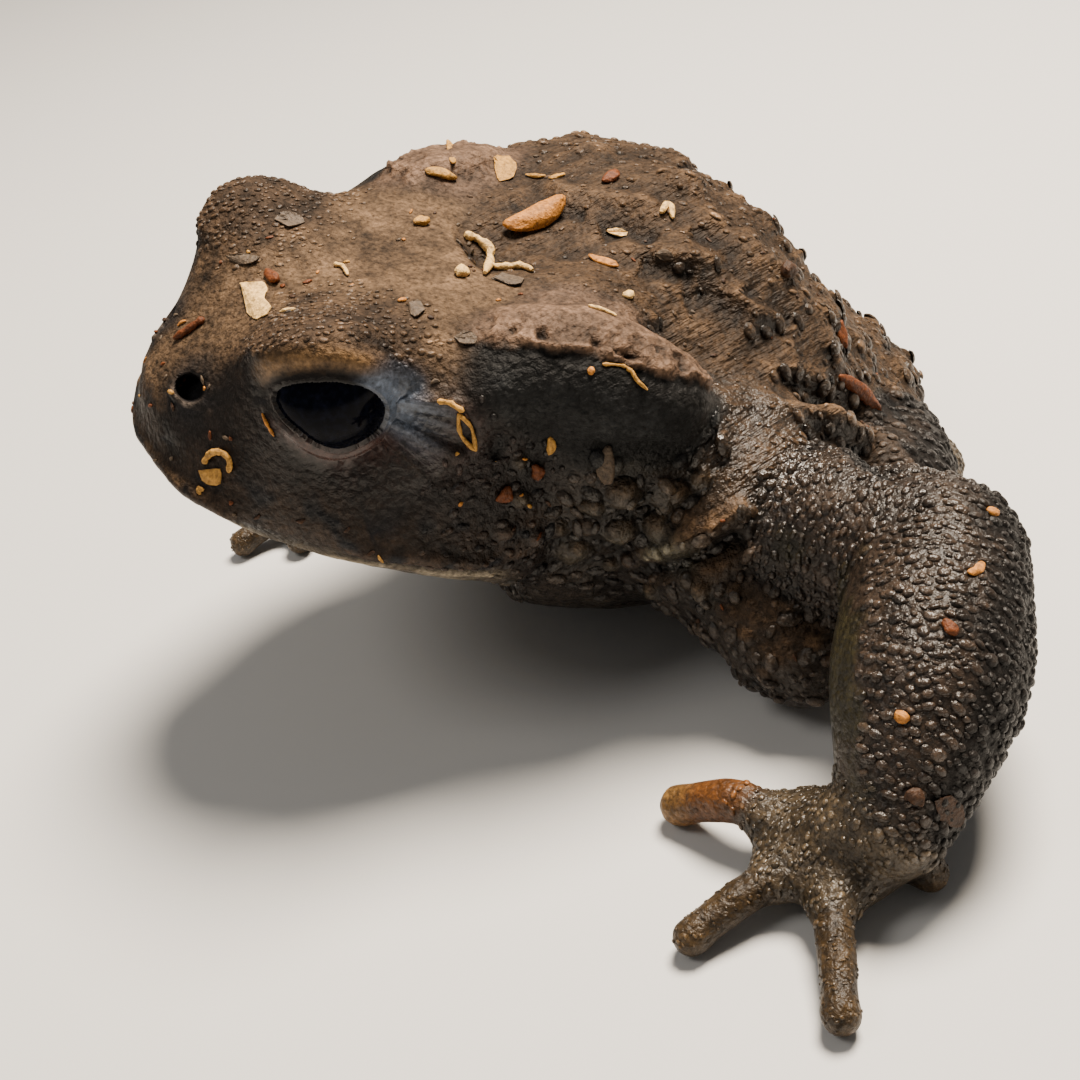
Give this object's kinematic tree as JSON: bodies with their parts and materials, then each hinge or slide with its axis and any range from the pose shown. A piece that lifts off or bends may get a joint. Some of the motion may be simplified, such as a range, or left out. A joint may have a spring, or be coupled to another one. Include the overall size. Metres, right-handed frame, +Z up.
{
  "type": "asiatic toad",
  "caption": "Life-size still model of an adult Asiatic toad, sitting hunched with its head raised and turned, heavy eyelids, swollen neck glands and warty skin.",
  "frame": {"origin": "middle of the footprint of the toad's box, at the level of the floor it sits on", "axes": "+Z up, the body's front towards -Y, the toad's left side towards +X; the head is turned towards the toad's right"},
  "size_m": [0.1038, 0.0746, 0.037],
  "materials": {
    "back_skin": "dry to moist warty skin, grey brown",
    "side_skin": "moist granular skin, dark brown with paler warts",
    "digit_skin": "moist olive and orange brown skin",
    "jaw_skin": "moist pale throat skin with dark mottling",
    "gland_skin": "pitted gland skin, mauve grey above and dark below",
    "eye_black": "wet glossy near-black eye"
  },
  "bodies": {
    "root": {"head": "back_skin", "lower_jaw": "jaw_skin", "trunk": "back_skin", "eye_left": "eye_black", "parotoid_left": "gland_skin", "upper_arm_left": "side_skin", "forearm_left": "side_skin", "hand_left": "side_skin", "finger_left_1": "digit_skin", "finger_left_2": "digit_skin", "finger_left_3": "digit_skin", "finger_left_4": "digit_skin", "thigh_left": "side_skin", "shank_left": "side_skin", "tarsus_left": "side_skin", "foot_left": "side_skin", "toe_left_1": "digit_skin", "toe_left_2": "digit_skin", "toe_left_3": "digit_skin", "toe_left_4": "digit_skin", "toe_left_5": "digit_skin", "eye_right": "eye_black", "parotoid_right": "gland_skin", "upper_arm_right": "side_skin", "forearm_right": "side_skin", "hand_right": "side_skin", "finger_right_1": "digit_skin", "finger_right_2": "digit_skin", "finger_right_3": "digit_skin", "finger_right_4": "digit_skin", "thigh_right": "side_skin", "shank_right": "side_skin", "tarsus_right": "side_skin", "foot_right": "side_skin", "toe_right_1": "digit_skin", "toe_right_2": "digit_skin", "toe_right_3": "digit_skin", "toe_right_4": "digit_skin", "toe_right_5": "digit_skin"}
  },
  "joints": []
}
